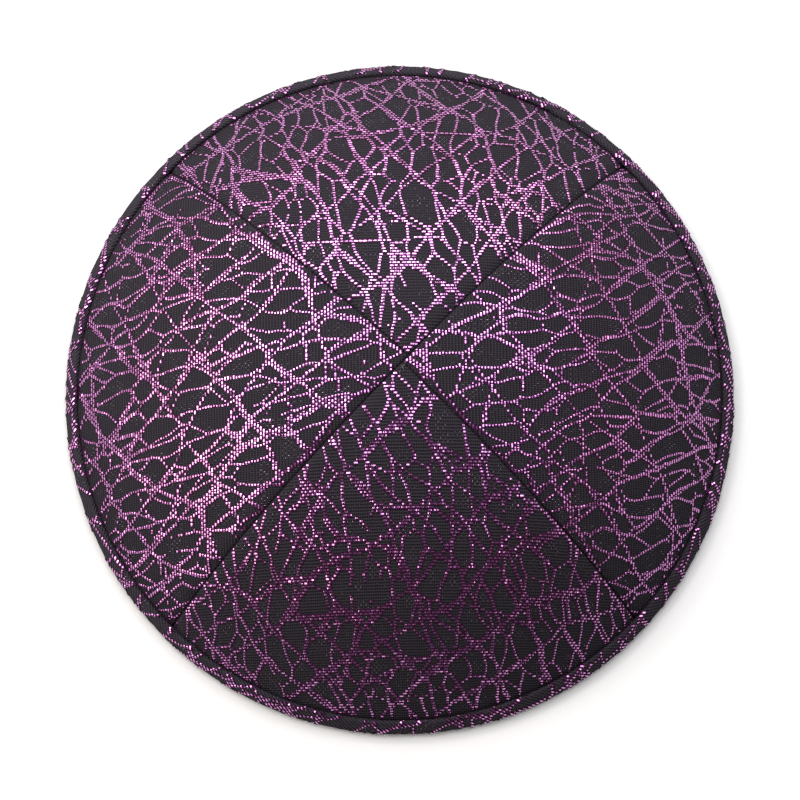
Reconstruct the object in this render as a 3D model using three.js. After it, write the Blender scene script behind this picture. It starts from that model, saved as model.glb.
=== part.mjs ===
// A four-panel skullcap: four cloth gores sewn into a shallow dome, with a folded binding around the rim.
// Lengths are in millimetres and +Z is up. The origin is the centre of the rim on the surface that the
// cap rests on, +Y points to the back of the cap and +X to its right.
import * as THREE from "three";

// Sizes of the whole cap
const RIM_WIDTH = 164; // across the outer edge of the rim, left to right
const RIM_LENGTH = 167.6; // across the outer edge of the rim, front to back
const CROWN_HEIGHT = 45; // from the surface to the top of the crown
const RIM_SLOPE_DEG = 52; // steepness of the wall where it runs into the binding
const TOP_RIGHT = 2.1; // the top of the crown stands this far to the right of the rim's centre
const TOP_BACK = 0.3; // and this far behind it

// Cloth and seams
const PANEL_CLOTH = 1.4; // brocade with its backing
const SEAM_GAP = 0.3; // between the edges of two panels
const SEAM_STAGGER = 2.0; // the two short seams end this far apart along the long seam
const SEAM_PULL = 0.45; // the stitching draws the cloth in by this much
const SEAM_PULL_WIDTH = 1.5; // reach of that dip to each side of a seam
const SEAM_PULL_RANGE = { starts: 0.02, full: 0.2, fades: 0.8, gone: 0.97 }; // shares of a seam's length
const PANEL_FLATNESS = 0.1; // how much the middle of a panel is flatter than a round dome, as a share

// Binding folded over the edge of the panels
const BINDING_CLOTH = 1.0;
const BINDING_HEIGHT = 5.9; // visible height of its outer leg, along the wall
const INNER_LEG_HEIGHT = 5.0; // height of its leg inside the cap
const FOLD_RADIUS = 1.6; // outer radius of the fold's two corners
const BINDING_FIT = 0.3; // clearance between the binding and the panel edge on every side
const REST_WIDTH = 1.3; // width of the flattened strip that the binding rests on

// Azimuth of each seam at the rim, counted from the right-hand side towards the back
const SEAMS = {
  back_right: { azimuthDeg: 45.4 },
  back_left: { azimuthDeg: 135.6 },
  front_left: { azimuthDeg: 226.1 },
  front_right: { azimuthDeg: 316.6 },
};

// The long seam runs from front_left to back_right. The other two seams meet it a little apart.
const PANELS = [
  { name: "panel_back", from: "back_right", to: "back_left", tip: "rear" },
  { name: "panel_left", from: "back_left", to: "front_left", tip: "rear" },
  { name: "panel_front", from: "front_left", to: "front_right", tip: "fore" },
  { name: "panel_right", from: "front_right", to: "back_right", tip: "fore" },
];

// Fineness of the faceted solids
const ROWS = 13; // from the tip of a panel down to the binding
const COLUMNS = 13; // across a panel, between its two seam margins
const MARGIN_COLUMNS = [0.6, 1.6]; // the columns beside a seam, in multiples of the dip's reach
const NARROWEST_MARGIN = 0.5; // most that such a column takes near the tip, as a share of an even one
const BINDING_STATIONS = 92;
const BEND_STEPS = 4; // facets in each rounded corner of the binding
const SLOPE_STEP = 0.05; // distance over which the slope of the crown is measured

const CLOTH_COLOUR = 0x2b282c;
const BINDING_COLOUR = 0x33242f;
const CLOTH_ROUGHNESS = 0.7;

const rimSlope = THREE.MathUtils.degToRad(RIM_SLOPE_DEG);
const smoothstep = (low, high, value) => THREE.MathUtils.smoothstep(value, low, high);

// The binding's section lies in the plane through a rim station. Its coordinates are the distance down
// the wall from the top of the binding and the distance outwards from the panel's outer surface.
const outerFace = BINDING_FIT + BINDING_CLOTH;
const innerFace = -PANEL_CLOTH - BINDING_FIT - BINDING_CLOTH;
const panelEnd = BINDING_HEIGHT - BINDING_CLOTH - BINDING_FIT;
const cornerRadius = Math.min((outerFace - innerFace) / 2, FOLD_RADIUS);

const toSection = (down, out) =>
  new THREE.Vector2(
    down * Math.cos(rimSlope) + out * Math.sin(rimSlope),
    -down * Math.sin(rimSlope) + out * Math.cos(rimSlope),
  );

// Arc from one angle to another around a centre given as (down, out).
function arc(centreDown, centreOut, radius, startDeg, endDeg) {
  return Array.from({ length: BEND_STEPS + 1 }, (unused, step) => {
    const angle = THREE.MathUtils.degToRad(startDeg + ((endDeg - startDeg) * step) / BEND_STEPS);
    return toSection(centreDown + radius * Math.sin(angle), centreOut + radius * Math.cos(angle));
  });
}

// Outline of the folded binding: round lips, a round fold below the panel edge and a slot for the edge.
function bindingOutline() {
  const lip = BINDING_CLOTH / 2;
  const innerTop = BINDING_HEIGHT - INNER_LEG_HEIGHT;
  const slotFloor = panelEnd + BINDING_FIT;
  const innerWall = -PANEL_CLOTH - BINDING_FIT;
  return [
    ...arc(lip, BINDING_FIT + lip, lip, -180, 0),
    ...arc(BINDING_HEIGHT - cornerRadius, outerFace - cornerRadius, cornerRadius, 0, 90),
    ...arc(BINDING_HEIGHT - cornerRadius, innerFace + cornerRadius, cornerRadius, 90, 180),
    ...arc(innerTop + lip, innerWall - lip, lip, 180, 360),
    toSection(slotFloor, innerWall),
    toSection(slotFloor, BINDING_FIT),
  ];
}

// The fold is pressed flat where the cap rests: what would lie under the resting plane is cut away.
function restedBinding() {
  const outline = bindingOutline();
  const lowest = Math.min(...outline.map((point) => point.y));
  const pressed = cornerRadius - Math.sqrt(Math.max(cornerRadius ** 2 - (REST_WIDTH / 2) ** 2, 0));
  const floor = lowest + pressed;
  const kept = outline.flatMap((point, i) => {
    const next = outline[(i + 1) % outline.length];
    const here = point.y >= floor ? [point] : [];
    if (point.y >= floor === next.y >= floor) return here;
    const crossing = point.clone().lerp(next, (floor - point.y) / (next.y - point.y));
    return [...here, new THREE.Vector2(crossing.x, floor)];
  });
  return { outline: kept, floor };
}

const { outline: section, floor: sectionFloor } = restedBinding();
const sectionReach = Math.max(...section.map((point) => point.x));

// Dome: half axes of the ellipse where the wall enters the binding, and the height of that ellipse.
const bindingTop = -sectionFloor;
const halfWidth = RIM_WIDTH / 2 - sectionReach;
const halfLength = RIM_LENGTH / 2 - sectionReach;
const rise = CROWN_HEIGHT - bindingTop;
const top = new THREE.Vector2(TOP_RIGHT, TOP_BACK);

// Point of the binding's upper ellipse and its outward horizontal direction at an angle.
function rimStation(angle) {
  return {
    point: new THREE.Vector2(halfWidth * Math.cos(angle), halfLength * Math.sin(angle)),
    outward: new THREE.Vector2(Math.cos(angle) / halfWidth, Math.sin(angle) / halfLength).normalize(),
  };
}

// Each contour of the dome is the rim's ellipse, scaled by a share and moved towards the leaning top.
// This solves for the share of the contour through a point of the plan.
function contourShare(x, y) {
  const fromTopX = x - top.x;
  const fromTopY = y - top.y;
  const a = (top.x / halfWidth) ** 2 + (top.y / halfLength) ** 2 - 1;
  const b = 2 * ((fromTopX * top.x) / halfWidth ** 2 + (fromTopY * top.y) / halfLength ** 2);
  const c = (fromTopX / halfWidth) ** 2 + (fromTopY / halfLength) ** 2;
  return (-b - Math.sqrt(b * b - 4 * a * c)) / (2 * a);
}

const turn = 2 * Math.PI;
const seamAngles = Object.values(SEAMS).map(({ azimuthDeg }) => THREE.MathUtils.degToRad(azimuthDeg));

// 0 on the seams and 1 in the middle of a panel.
function panelMiddle(angle) {
  const turned = (((angle - seamAngles[0]) % turn) + turn) % turn;
  for (let i = 0; i < seamAngles.length; i++) {
    const begin = seamAngles[i] - seamAngles[0];
    const end = (i + 1 < seamAngles.length ? seamAngles[i + 1] : seamAngles[0] + turn) - seamAngles[0];
    if (turned <= end) return Math.sin((Math.PI * (turned - begin)) / (end - begin));
  }
  return 0;
}

// Height of the crown before the seams draw it in.
function crownHeight(x, y) {
  const share = contourShare(x, y);
  const angle = Math.atan2((y - top.y * (1 - share)) / halfLength, (x - top.x * (1 - share)) / halfWidth);
  const lowered = share * (1 + PANEL_FLATNESS * (1 - share) * panelMiddle(angle));
  const slope = Math.asin(Math.min(lowered * Math.sin(rimSlope), 1));
  return bindingTop + (rise * (Math.cos(slope) - Math.cos(rimSlope))) / (1 - Math.cos(rimSlope));
}

function crownNormal(x, y) {
  const step = SLOPE_STEP;
  const slopeX = (crownHeight(x + step, y) - crownHeight(x - step, y)) / (2 * step);
  const slopeY = (crownHeight(x, y + step) - crownHeight(x, y - step)) / (2 * step);
  return new THREE.Vector3(-slopeX, -slopeY, 1).normalize();
}

// Ends of the seams in plan. The short seams stop half the stagger to each side of the top.
const rimEnd = (name) => rimStation(THREE.MathUtils.degToRad(SEAMS[name].azimuthDeg)).point;
const longSeam = rimEnd("back_right").sub(rimEnd("front_left")).normalize();
const TIPS = {
  rear: top.clone().addScaledVector(longSeam, SEAM_STAGGER / 2),
  fore: top.clone().addScaledVector(longSeam, -SEAM_STAGGER / 2),
};

const cross = (a, b) => a.x * b.y - a.y * b.x;

// Tip and rim angles of a panel once half the seam gap is trimmed off both of its sides.
function trimmedPanel({ from, to, tip }) {
  const begin = THREE.MathUtils.degToRad(SEAMS[from].azimuthDeg);
  const end = begin + ((THREE.MathUtils.degToRad(SEAMS[to].azimuthDeg) - begin + turn) % turn);
  const corner = TIPS[tip];
  const alongFrom = rimEnd(from).sub(corner).normalize();
  const alongTo = rimEnd(to).sub(corner).normalize();
  const halfAngle = Math.atan2(cross(alongFrom, alongTo), alongFrom.dot(alongTo)) / 2;
  const inwards = alongFrom.clone().add(alongTo).normalize();
  const trim = SEAM_GAP / 2 / ((halfWidth + halfLength) / 2);
  return {
    tip: corner.clone().addScaledVector(inwards, SEAM_GAP / 2 / Math.sin(halfAngle)),
    begin: begin + trim,
    end: end - trim,
  };
}

// Shares across a panel where its columns stand: two close to each seam, the rest evenly between them.
function columnShares(width) {
  const limit = NARROWEST_MARGIN / COLUMNS;
  const near = MARGIN_COLUMNS.map((multiple, i) =>
    Math.min((multiple * SEAM_PULL_WIDTH) / width, limit * (i + 1)),
  );
  const last = near[near.length - 1];
  const shares = [0, ...near];
  for (let i = 1; i < COLUMNS; i++) shares.push(last + ((1 - 2 * last) * i) / COLUMNS);
  return [...shares, ...near.reverse().map((share) => 1 - share), 1];
}

// Outer and inner skin of one panel as rows of points from the tip down into the binding.
function panelRows(panel) {
  const { tip, begin, end } = trimmedPanel(panel);
  const rows = [];
  for (let row = 0; row < ROWS; row++) {
    const reach = Math.sin((rimSlope * row) / ROWS) / Math.sin(rimSlope);
    const width = Math.max(reach * (end - begin) * halfWidth, SEAM_GAP);
    rows.push(
      columnShares(width).map((share) => {
        const rim = rimStation(begin + (end - begin) * share).point;
        const plan = tip.clone().lerp(rim, reach);
        const seamDistance = Math.min(share, 1 - share) * width;
        const { starts, full, fades, gone } = SEAM_PULL_RANGE;
        const fade = smoothstep(starts, full, reach) * (1 - smoothstep(fades, gone, reach));
        const pull = SEAM_PULL * Math.exp(-((seamDistance / SEAM_PULL_WIDTH) ** 2)) * fade;
        const normal = crownNormal(plan.x, plan.y);
        const outer = new THREE.Vector3(plan.x, plan.y, crownHeight(plan.x, plan.y));
        outer.addScaledVector(normal, -pull);
        return { outer, inner: outer.clone().addScaledVector(normal, -PANEL_CLOTH) };
      }),
    );
  }
  rows.push(bindingRow(begin, end, 0), bindingRow(begin, end, panelEnd));
  return rows;
}

// Row of a panel inside the binding, at a distance down the straight wall.
function bindingRow(begin, end, down) {
  return columnShares((end - begin) * halfWidth).map((share) => {
    const station = rimStation(begin + (end - begin) * share);
    return {
      outer: stationPoint(station, toSection(down, 0)),
      inner: stationPoint(station, toSection(down, -PANEL_CLOTH)),
    };
  });
}

function stationPoint({ point, outward }, offset) {
  return new THREE.Vector3(
    point.x + outward.x * offset.x,
    point.y + outward.y * offset.x,
    Math.max(bindingTop + offset.y, 0),
  );
}

function solidGeometry(points, triangles) {
  const geometry = new THREE.BufferGeometry();
  const positions = new Float32Array(points.flatMap((point) => point.toArray()));
  geometry.setAttribute("position", new THREE.BufferAttribute(positions, 3));
  geometry.setIndex(triangles.flat());
  const flat = geometry.toNonIndexed();
  flat.computeVertexNormals();
  return flat;
}

// Closed wall of a panel. Its first row is a single point of each skin, the tip.
function panelGeometry(panel) {
  const rows = panelRows(panel);
  const width = rows[1].length;
  const points = [];
  const outer = [];
  const inner = [];
  rows.forEach((row, r) => {
    const kept = r === 0 ? [row[0]] : row;
    outer.push(kept.map((column) => points.push(column.outer) - 1));
    inner.push(kept.map((column) => points.push(column.inner) - 1));
  });
  const at = (skin, r, c) => skin[r][r === 0 ? 0 : c];
  const triangles = [];
  const quad = (a, b, c, d) => triangles.push([a, b, c], [a, c, d]);
  for (let c = 0; c + 1 < width; c++) {
    triangles.push([at(outer, 0, 0), at(outer, 1, c), at(outer, 1, c + 1)]);
    triangles.push([at(inner, 0, 0), at(inner, 1, c + 1), at(inner, 1, c)]);
    for (let r = 1; r + 1 < rows.length; r++) {
      quad(at(outer, r, c), at(outer, r + 1, c), at(outer, r + 1, c + 1), at(outer, r, c + 1));
      quad(at(inner, r, c), at(inner, r, c + 1), at(inner, r + 1, c + 1), at(inner, r + 1, c));
    }
    const last = rows.length - 1;
    quad(at(outer, last, c), at(inner, last, c), at(inner, last, c + 1), at(outer, last, c + 1));
  }
  for (let r = 0; r + 1 < rows.length; r++) {
    const side = width - 1;
    quad(at(outer, r, 0), at(inner, r, 0), at(inner, r + 1, 0), at(outer, r + 1, 0));
    quad(at(outer, r, side), at(outer, r + 1, side), at(inner, r + 1, side), at(inner, r, side));
  }
  return solidGeometry(points, triangles.filter(([a, b, c]) => a !== b && b !== c && c !== a));
}

// The folded binding is its section carried around the rim.
function bindingGeometry() {
  const points = [];
  const triangles = [];
  const count = section.length;
  for (let i = 0; i < BINDING_STATIONS; i++) {
    const station = rimStation((turn * i) / BINDING_STATIONS);
    section.forEach((offset) => points.push(stationPoint(station, offset)));
    const here = i * count;
    const next = ((i + 1) % BINDING_STATIONS) * count;
    for (let k = 0; k < count; k++) {
      const after = (k + 1) % count;
      triangles.push([here + k, here + after, next + after], [here + k, next + after, next + k]);
    }
  }
  return solidGeometry(points, triangles);
}

function cloth(name, geometry, color) {
  const material = new THREE.MeshStandardMaterial({ color, roughness: CLOTH_ROUGHNESS });
  const mesh = new THREE.Mesh(geometry, material);
  mesh.name = name;
  return mesh;
}

const cap = new THREE.Group();
for (const panel of PANELS) cap.add(cloth(panel.name, panelGeometry(panel), CLOTH_COLOUR));
cap.add(cloth("rim_binding", bindingGeometry(), BINDING_COLOUR));

export default cap;
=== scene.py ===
import math

import bpy
import numpy as np
from bpy.props import FloatProperty, FloatVectorProperty, IntProperty, PointerProperty
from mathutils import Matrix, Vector


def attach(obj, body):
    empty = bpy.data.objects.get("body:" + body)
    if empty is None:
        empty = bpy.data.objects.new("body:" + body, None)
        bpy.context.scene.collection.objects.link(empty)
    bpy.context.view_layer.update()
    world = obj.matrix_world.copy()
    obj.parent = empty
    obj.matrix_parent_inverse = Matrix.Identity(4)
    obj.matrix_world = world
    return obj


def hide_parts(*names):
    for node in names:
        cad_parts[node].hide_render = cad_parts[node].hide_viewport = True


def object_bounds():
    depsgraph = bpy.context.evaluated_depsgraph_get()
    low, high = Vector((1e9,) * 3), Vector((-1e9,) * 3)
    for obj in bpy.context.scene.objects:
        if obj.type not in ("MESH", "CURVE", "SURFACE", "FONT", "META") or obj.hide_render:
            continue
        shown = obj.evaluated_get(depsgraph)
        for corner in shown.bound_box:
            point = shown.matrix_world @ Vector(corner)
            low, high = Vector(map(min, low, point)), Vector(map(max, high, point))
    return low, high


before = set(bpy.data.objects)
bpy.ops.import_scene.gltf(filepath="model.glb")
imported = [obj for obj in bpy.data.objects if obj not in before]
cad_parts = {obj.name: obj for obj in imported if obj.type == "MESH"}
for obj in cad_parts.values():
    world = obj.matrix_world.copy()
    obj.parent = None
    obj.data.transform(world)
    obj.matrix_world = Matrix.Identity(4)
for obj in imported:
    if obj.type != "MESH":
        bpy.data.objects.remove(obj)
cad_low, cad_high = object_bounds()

bl_info = {
    "name": "Four-panel skullcap",
    "version": (1, 0, 0),
    "blender": (4, 5, 0),
    "location": "3D View > Sidebar > Skullcap",
    "description": "Dresses the frame of a skullcap sewn from four gores of brocade with a folded binding",
    "category": "Object",
}

MM = 0.001
TURN = 2 * math.pi


# Properties


def length(name, description, millimetres):
    return FloatProperty(
        name=name, description=description, default=millimetres * MM,
        subtype="DISTANCE", unit="LENGTH", precision=5,
    )


def angle(name, description, degrees):
    return FloatProperty(
        name=name, description=description, default=math.radians(degrees),
        subtype="ANGLE", unit="ROTATION",
    )


def share(name, description, value):
    return FloatProperty(name=name, description=description, default=value, subtype="FACTOR", min=0, max=1)


def colour(name, description, rgb):
    return FloatVectorProperty(
        name=name, description=description, default=rgb, size=3, subtype="COLOR", min=0, max=1,
    )


def brightness(name, description, radiance):
    return FloatProperty(name=name, description=description, default=radiance, min=0)


class CapCrown(bpy.types.PropertyGroup):
    """Sizes of the sewn crown"""

    rim_width: length("Rim width", "Across the rim's outer edge, left to right",
                      (cad_high.x - cad_low.x) / MM)
    rim_length: length("Rim length", "Across the rim's outer edge, front to back",
                       (cad_high.y - cad_low.y) / MM)
    height: length("Crown height", "From the resting surface to the top", (cad_high.z - cad_low.z) / MM)
    rim_slope: angle("Rim slope", "Steepness of the wall where it runs into the binding", 52)
    top_right: length("Top to the right", "The top stands this far right of the rim's centre", 1.33)
    top_back: length("Top to the back", "The top stands this far behind the rim's centre", -0.2)
    flatness: share("Panel flatness", "How much the middle of a panel is flatter than a round dome", 0.1)
    back_right: angle("Back right seam", "Azimuth of the seam at the rim", 45.5)
    back_left: angle("Back left seam", "Azimuth of the seam at the rim", 136.0)
    front_left: angle("Front left seam", "Azimuth of the seam at the rim", 225.6)
    front_right: angle("Front right seam", "Azimuth of the seam at the rim", 316.3)
    stagger: length("Seam stagger", "The short seams meet the long one this far apart", 2.0)
    cloth: length("Panel cloth", "Brocade with its backing", 1.4)
    gap: length("Seam gap", "Between the sewn edges of two panels", 0.03)
    pull: length("Seam pull", "The stitching draws the cloth in by this much", 0.5)
    pull_reach: length("Reach of the pull", "Width of that dip to each side of a seam", 1.3)
    edge_roll: length("Edge roll", "Radius of the cloth's edge where it turns into a seam", 0.6)
    ditch: length("Rim ditch", "The binding's stitching presses the cloth in by this much", 0.22)
    unevenness: length("Unevenness", "Slow rise and fall of the sewn cloth", 0.2)
    pucker: length("Pucker", "Depth of the small gathers along the seams", 0.07)
    stitch: length("Stitch length", "Length of the seams' stitches", 2.9)


class CapBinding(bpy.types.PropertyGroup):
    """Sizes of the folded binding"""

    height: length("Binding height", "Of its outer leg, along the wall", 4.7)
    inner_leg: length("Inner leg", "Height of its leg inside the cap", 4.2)
    cloth: length("Binding cloth", "Thickness of the folded strip", 0.8)
    fit: length("Fit", "Clearance between the strip and the panel", 0.10)
    fold_radius: length("Fold radius", "Outer radius of the fold's two corners", 1.6)
    lip_radius: length("Lip radius", "Rounding of the outer leg's upper edge", 0.55)
    rest_width: length("Resting width", "Of the strip that is pressed flat", 1.3)
    bulge: length("Bulge", "The outer leg swells by this much", 0.14)
    pucker: length("Pucker", "Depth of the gathers in the bias strip", 0.06)
    wobble: length("Wobble", "The upper edge wanders by this much", 0.16)
    join: angle("Join", "Azimuth where the strip's ends overlap", 62.5)
    join_step: length("Join step", "The overlap stands out by this much", 0.16)


class CapWeave(bpy.types.PropertyGroup):
    """Sizes of the brocade's weave"""

    rib: length("Rib pitch", "Between two rows of the weave", 0.78)
    end: length("End pitch", "Between two lengthwise threads", 0.54)
    dash: length("Dash pitch", "Between two binding points of a metal thread", 1.15)
    dip: length("Dip", "Length of a binding point, where a metal thread dives", 0.13)
    shortest: length("Shortest dash", "Of a metal thread on a thin line", 0.64)
    thread: length("Metal thread", "Width of its flat film; the yarn is about three times as wide", 0.33)
    raise_by: length("Raise", "A dash stands this far proud of the cloth", 0.14)
    leaf: length("Leaf width", "Of the small cells of the web", 5.2)
    branch: length("Branch width", "Between the long strokes of the web", 9.6)
    vein: length("Vein width", "Between the strokes that cross the branches", 12.5)
    seed: IntProperty(name="Seed", description="Chooses another piece of the same web", default=3, min=0)


class CapColours(bpy.types.PropertyGroup):
    """Colours of the cloth and threads"""

    # The cloth's own charcoal lies between these two colours; that it is darker between the ribs than on
    # their crests is painted shade of the hollows
    ground: colour("Ground", "Dark cloth between its ribs", (0.0112, 0.0097, 0.0125))
    rib: colour("Rib", "Crests of the ribs", (0.0315, 0.0270, 0.0343))
    glint: colour("Glint", "Metal thread that shows between two ribs", (0.75, 0.62, 0.78))
    pink: colour("Pink metal", "Most metal threads", (0.64, 0.185, 0.505))
    violet: colour("Violet metal", "Metal threads near the top and the rim turn to it", (0.60, 0.20, 0.60))
    # The yarn's dark purple is partly its own colour and partly painted shade beside and between the dashes
    # of film
    yarn: colour("Yarn", "Dark yarn that carries the metal film", (0.027, 0.0017, 0.021))
    inside: colour("Inside", "Plain reverse of the cloth", (0.016, 0.015, 0.017))
    loose: colour("Loose ends", "Pale thread ends at the top", (0.12, 0.12, 0.12))
    floor: colour("Floor", "Plain pale surface that the cap rests on", (0.55, 0.55, 0.55))


class CapStage(bpy.types.PropertyGroup):
    """Camera and studio light"""

    distance: length("Camera distance", "From the lens to the cap", 1200)
    elevation: angle("Camera elevation", "Above the horizon, at the cap's front", 78)
    across: length("View width", "Width of the picture at the cap", 194.5)
    aim_right: length("Aim to the right", "Of the rim's centre", 0.05)
    aim_front: length("Aim to the front", "Of the rim's centre", 3.78)
    aim_up: length("Aim height", "Above the floor", 14.14)
    ambient: brightness("Ambient", "Light from all around", 0.09)


class CapSettings(bpy.types.PropertyGroup):
    """Everything that a user may change on the cap"""

    crown: PointerProperty(type=CapCrown)
    binding: PointerProperty(type=CapBinding)
    weave: PointerProperty(type=CapWeave)
    colours: PointerProperty(type=CapColours)
    stage: PointerProperty(type=CapStage)


# Noise and the web of the brocade


def scatter(column, row, seed):
    """Two even numbers from 0 to 1 for each cell of a grid."""
    mixed = (column.astype(np.int64) * 73856093) ^ (row.astype(np.int64) * 19349663) ^ (seed * 83492791)
    mixed &= 0xFFFFFFFF
    for _ in range(2):
        mixed = ((mixed ^ (mixed >> 16)) * 0x45D9F3B) & 0xFFFFFFFF
    mixed ^= mixed >> 16
    return (mixed & 0xFFFF) / 0xFFFF, (mixed >> 16) / 0xFFFF


def noise(x, y, size, seed):
    """Smooth noise from -1 to 1 whose bumps are size across."""
    x, y = np.broadcast_arrays(x / size, y / size)
    column, row = np.floor(x), np.floor(y)
    across, up = ((part * part * (3 - 2 * part)) for part in (x - column, y - row))
    corner = [scatter(column + i, row + j, seed)[0] for j in (0, 1) for i in (0, 1)]
    low = corner[0] + (corner[1] - corner[0]) * across
    high = corner[2] + (corner[3] - corner[2]) * across
    return 2 * (low + (high - low) * up) - 1


def unit(vectors):
    """Vectors of the same directions, 1 long."""
    return vectors / np.linalg.norm(vectors, axis=-1, keepdims=True)


def running(steps):
    """Distance passed at each point of a line with such steps between its points."""
    return np.concatenate([[0], np.cumsum(steps)])


def smoothstep(low, high, value):
    part = np.clip((value - low) / (high - low), 0, 1)
    return part * part * (3 - 2 * part)


def bell(value, reach, middle=0.0):
    """1 at the middle, and close to 0 from two reaches away."""
    return np.exp(-(((value - middle) / reach) ** 2))


def crackle(x, y, cell, looseness, rounding, seed):
    """Distance to the lines between the cells of a crackle, which lie in rows like bricks."""
    column, row = np.floor(x / cell[0]), np.floor(y / cell[1])
    near, centre_x, centre_y = [], [], []
    for i in range(-2, 3):
        for j in range(-2, 3):
            side, up = scatter(column + i, row + j, seed)
            centre_x.append((column + i + 0.5 + (row + j) % 2 / 2 + looseness * (side - 0.5)) * cell[0])
            centre_y.append((row + j + 0.5 + looseness * (up - 0.5)) * cell[1])
            near.append(((x - centre_x[-1]) / cell[0]) ** 2 + ((y - centre_y[-1]) / cell[1]) ** 2)
    parts = [np.array(part) for part in (near, centre_x, centre_y)]
    for sort in (lambda near: np.argpartition(near, 4, axis=0)[:4], lambda near: np.argsort(near, axis=0)):
        order = sort(parts[0])
        parts = [np.take_along_axis(part, order, 0) for part in parts]
    near, centre_x, centre_y = parts
    total = np.zeros(x.shape)
    for k in (1, 2, 3):
        steepness = 2 * np.hypot((centre_x[0] - centre_x[k]) / cell[0] ** 2,
                                 (centre_y[0] - centre_y[k]) / cell[1] ** 2)
        total += np.exp(-(near[k] - near[0]) / np.maximum(steepness, 1e-9) / rounding)
    return -rounding * np.log(total)


# Layers of the web: the size of the weave that is a cell's width, the cell's length in widths, its turn in
# degrees, how far its lines are warped and over what distance, and their half width and how much it varies.
# Lengths are in millimetres.
WEB = [
    {"size": "leaf", "stretch": 2.3, "turn": 9, "warp": 3.2, "over": 15, "half": 0.24, "vary": 0.20},
    {"size": "branch", "stretch": 3.4, "turn": 36, "warp": 4.0, "over": 22, "half": 0.50, "vary": 0.42},
    {"size": "vein", "stretch": 4.0, "turn": -50, "warp": 4.0, "over": 24, "half": 0.54, "vary": 0.44},
]
SMALL_WARP = {"by": 0.75 * MM, "over": 5.5 * MM}
CELL_LOOSENESS = 0.78
CELL_ROUNDING = 0.24 * MM
WIDTH_VARIES_OVER = 8 * MM


def web(u, v, weave, seed, widen=0.0):
    """Whether the web of metal thread shows at each point of the cloth, u across the grain and v along it.

    Its lines are wider by widen to each side.
    """
    shown = np.zeros(u.shape, bool)
    for layer, form in enumerate(WEB):
        first = 100 * seed + 10 * layer
        x, y = (
            part + form["warp"] * MM * noise(u, v, form["over"] * MM, first + k)
            + SMALL_WARP["by"] * noise(u, v, SMALL_WARP["over"], first + 2 + k)
            for k, part in enumerate((u, v))
        )
        turn = math.radians(form["turn"])
        x, y = x * math.cos(turn) - y * math.sin(turn), x * math.sin(turn) + y * math.cos(turn)
        width = getattr(weave, form["size"])
        cell = (width, width * form["stretch"])
        away = crackle(x, y, cell, CELL_LOOSENESS, CELL_ROUNDING, first + 5)
        half = form["half"] + form["vary"] * noise(u, v, WIDTH_VARIES_OVER, first + 6)
        shown |= away < half * MM + widen
    return shown


# A stretch of a row below the first length stays bare. One dash covers a stretch of up to so many dash
# pitches: it is longer than the stretch by the factor, and at most a pitch less so many dips. A longer
# stretch takes a dash for each pitch of which more than the last length shows.
BARE_STRETCH = 0.2 * MM
ONE_DASH = {"pitches": 1.35, "factor": 1.12, "dips": 0.6}
BARE_PITCH = 0.35 * MM


def dashes(on, row, start, step, weave):
    """Middles and lengths of the dashes that cover the stretches of a row that are on."""
    edges = np.flatnonzero(np.diff(np.concatenate([[0], on.astype(int), [0]])))
    found = []
    for first, last in zip(edges[::2], edges[1::2]):
        low, high = start + (first - 0.5) * step, start + (last - 0.5) * step
        if high - low < BARE_STRETCH:
            continue
        if high - low < ONE_DASH["pitches"] * weave.dash:
            longest = weave.dash - weave.dip * ONE_DASH["dips"]
            long = max(ONE_DASH["factor"] * (high - low), weave.shortest)
            found.append(((low + high) / 2, min(long, longest)))
            continue
        offset = (row % 2) * weave.dash / 2
        for k in range(int((low - offset) // weave.dash), int((high - offset) // weave.dash) + 1):
            left = max(low, offset + k * weave.dash + weave.dip / 2)
            right = min(high, offset + (k + 1) * weave.dash - weave.dip / 2)
            if right - left > BARE_PITCH:
                found.append(((left + right) / 2, right - left))
    return found


# Shape of the crown


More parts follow.
